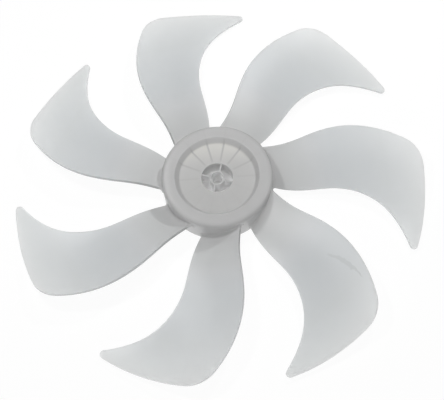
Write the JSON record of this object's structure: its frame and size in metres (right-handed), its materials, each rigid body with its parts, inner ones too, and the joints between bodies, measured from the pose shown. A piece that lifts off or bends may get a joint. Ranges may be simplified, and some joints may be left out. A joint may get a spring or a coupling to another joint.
{
  "type": "fan propeller",
  "caption": "One-piece moulded propeller for a household fan: cup-shaped hub with a dished front and shaft boss, and broad swept, twisted blades.",
  "frame": {"origin": "on the shaft axis, at the rear mouth of the shaft bore, in the plane of the hub's rear rim", "axes": "+Z along the shaft axis towards the front of the fan; +X through the root of one blade"},
  "size_m": [0.3727, 0.3697, 0.029],
  "materials": {
    "propeller": "translucent pale grey moulded plastic with a soft sheen"
  },
  "bodies": {
    "root": {"propeller": "propeller"}
  },
  "joints": []
}
